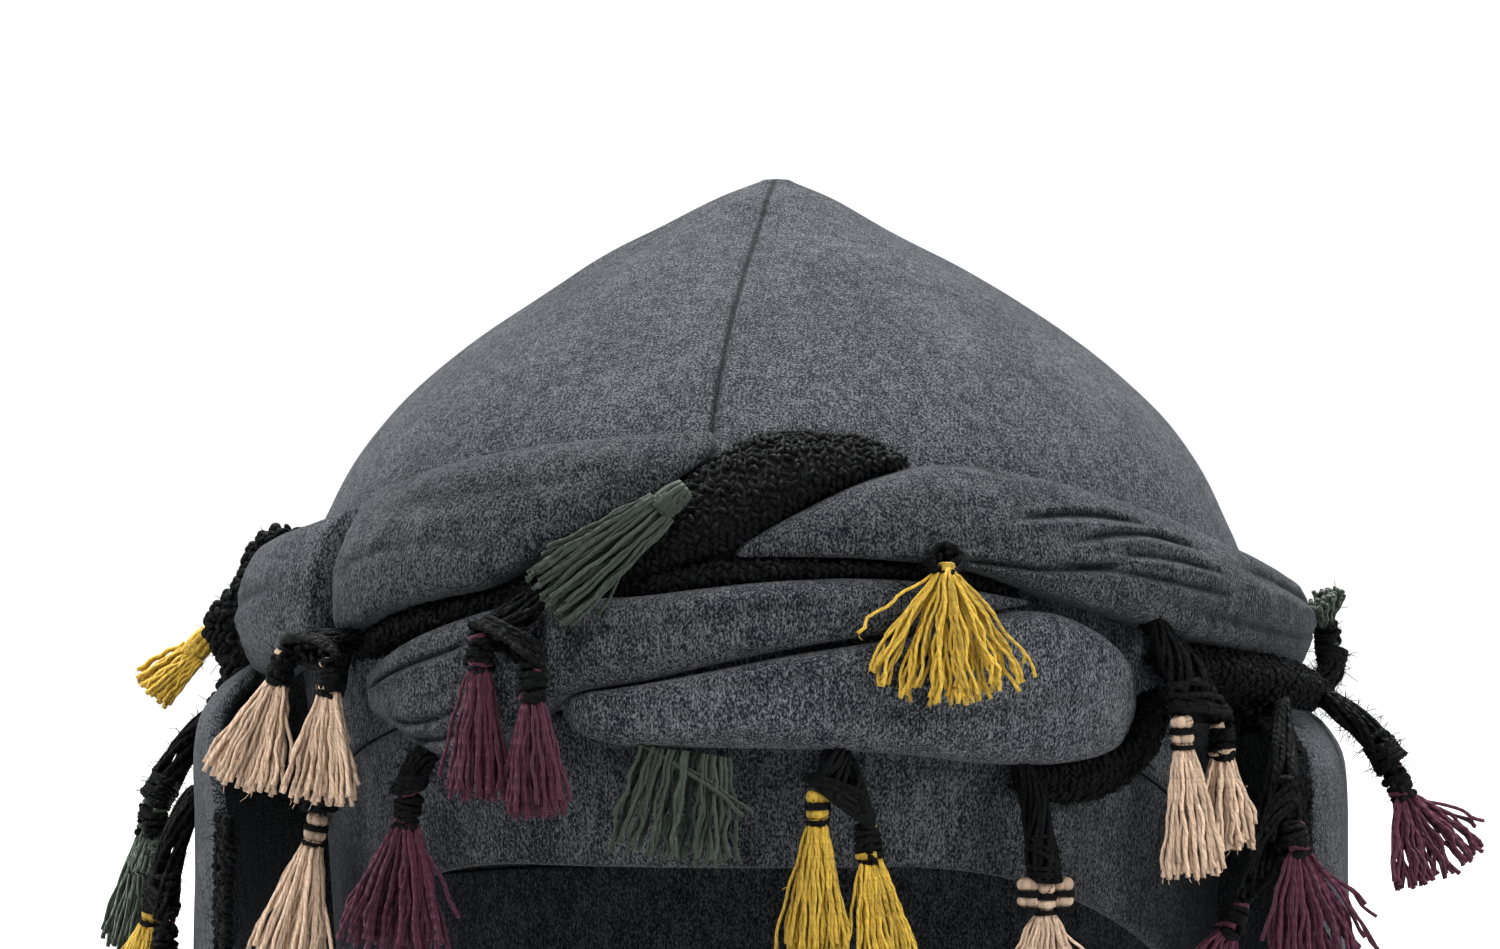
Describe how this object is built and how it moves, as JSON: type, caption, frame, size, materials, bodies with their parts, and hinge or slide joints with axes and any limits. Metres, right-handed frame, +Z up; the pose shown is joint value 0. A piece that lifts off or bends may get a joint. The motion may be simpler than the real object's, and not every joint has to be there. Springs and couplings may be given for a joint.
{
  "type": "tasseled turban cap",
  "caption": "Peaked wool jersey turban cap with wound folds, a neck drape, black crochet trim and coloured tassels.",
  "frame": {"origin": "centre of the head opening, level with the rim at the brow", "axes": "+Z up through the crown, -Y towards the brow, +X towards the wearer's left"},
  "size_m": [0.2671, 0.2394, 0.216],
  "materials": {
    "grey_jersey": "heathered wool jersey, matt",
    "black_crochet": "crocheted black yarn with a slight sheen",
    "green_yarn": "twisted embroidery yarn, soft sheen",
    "burgundy_yarn": "twisted embroidery yarn, soft sheen",
    "mustard_yarn": "twisted embroidery yarn, soft sheen",
    "beige_yarn": "twisted embroidery yarn, soft sheen"
  },
  "bodies": {
    "root": {"brow_band": "grey_jersey", "crown": "grey_jersey", "fold_left_side": "grey_jersey", "fold_low": "grey_jersey", "fold_middle": "grey_jersey", "fold_upper_left": "grey_jersey", "fold_upper_right": "grey_jersey", "neck_drape": "grey_jersey", "stem_02": "black_crochet", "stem_03": "black_crochet", "stem_04": "black_crochet", "stem_05": "black_crochet", "stem_07": "black_crochet", "stem_08": "black_crochet", "stem_09": "black_crochet", "stem_10": "black_crochet", "stem_11": "black_crochet", "stem_12": "black_crochet", "stem_13": "black_crochet", "stem_14": "black_crochet", "stem_15": "black_crochet", "tassel_01": "green_yarn", "tassel_02a": "burgundy_yarn", "tassel_02b": "burgundy_yarn", "tassel_03a": "beige_yarn", "tassel_03b": "beige_yarn", "tassel_04": "beige_yarn", "tassel_05": "burgundy_yarn", "tassel_06": "green_yarn", "tassel_07a": "mustard_yarn", "tassel_07b": "mustard_yarn", "tassel_08": "mustard_yarn", "tassel_09": "beige_yarn", "tassel_10a": "beige_yarn", "tassel_10b": "beige_yarn", "tassel_11a": "burgundy_yarn", "tassel_11b": "burgundy_yarn", "tassel_12": "burgundy_yarn", "tassel_13": "green_yarn", "tassel_14a": "green_yarn", "tassel_14b": "green_yarn", "tassel_15": "mustard_yarn", "tassel_16": "burgundy_yarn", "tassel_17": "mustard_yarn", "tassel_hem_1": "beige_yarn", "tassel_hem_2": "green_yarn", "tassel_hem_3": "mustard_yarn", "tassel_hem_4": "burgundy_yarn", "tassel_hem_5": "beige_yarn", "trim_drape_left": "black_crochet", "trim_drape_right": "black_crochet", "trim_front": "black_crochet", "trim_hem": "black_crochet", "trim_left": "black_crochet", "trim_left_ruffle": "black_crochet", "trim_low": "black_crochet", "trim_middle": "black_crochet", "trim_right": "black_crochet"}
  },
  "joints": []
}
